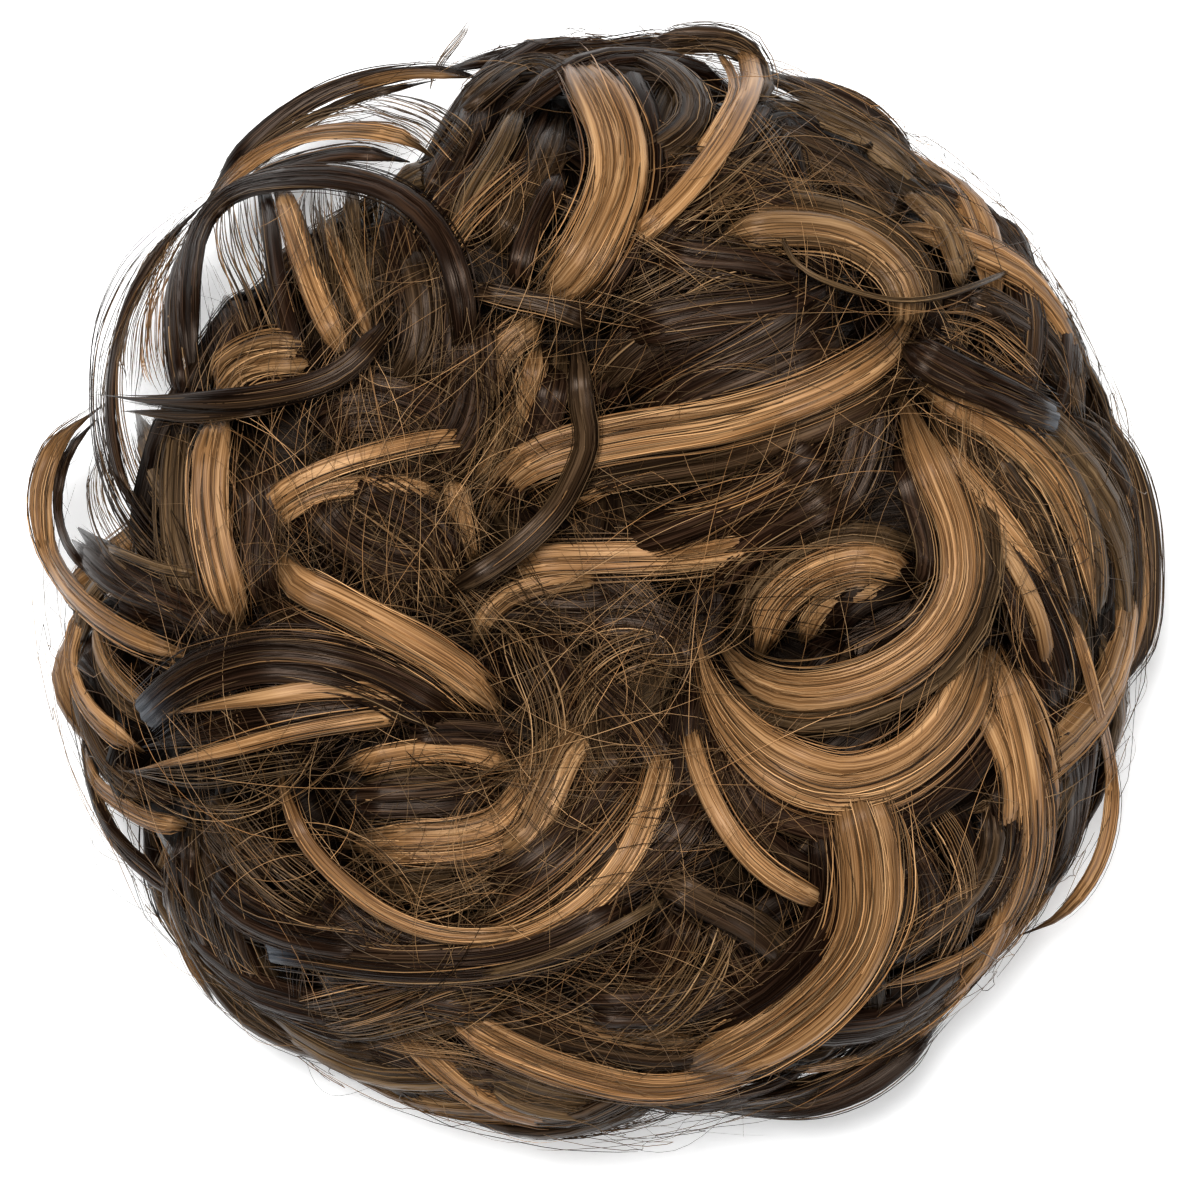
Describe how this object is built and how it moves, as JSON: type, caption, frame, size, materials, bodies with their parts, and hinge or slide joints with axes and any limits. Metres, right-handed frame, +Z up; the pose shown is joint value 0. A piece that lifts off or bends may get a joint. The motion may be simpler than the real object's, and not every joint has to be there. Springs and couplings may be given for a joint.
{
  "type": "top knot hairpiece",
  "caption": "Messy top knot hairpiece of curled brown and caramel synthetic hair sewn round an elastic band, hollow from below.",
  "frame": {"origin": "the middle of the outline, on the surface that the hairpiece lies on", "axes": "+Z up, from the elastic to the crown of the bun; +Y the top of the picture; +X its right side"},
  "size_m": [0.15, 0.15, 0.0617],
  "materials": {
    "brown_hair": "dark brown synthetic hair, glossy along the strands",
    "caramel_hair": "caramel synthetic hair, glossy along the strands",
    "elastic": "black elastic cord, covered in thread"
  },
  "bodies": {
    "root": {"brown_hair": "brown_hair", "elastic_band": "elastic", "caramel_crown_sweep": "caramel_hair", "caramel_crown_turn": "caramel_hair", "caramel_curl_heart": "caramel_hair", "caramel_curl_long": "caramel_hair", "caramel_curl_outer": "caramel_hair", "caramel_left_arc": "caramel_hair", "caramel_left_column": "caramel_hair", "caramel_left_diagonal": "caramel_hair", "caramel_left_loop": "caramel_hair", "caramel_left_streak": "caramel_hair", "caramel_lower_band": "caramel_hair", "caramel_lower_fall": "caramel_hair", "caramel_lower_right_arc": "caramel_hair", "caramel_lower_sweep": "caramel_hair", "caramel_middle_fall": "caramel_hair", "caramel_middle_sweep": "caramel_hair", "caramel_right_cascade": "caramel_hair", "caramel_top_arc": "caramel_hair", "caramel_top_fall": "caramel_hair", "caramel_top_streak": "caramel_hair"}
  },
  "joints": []
}
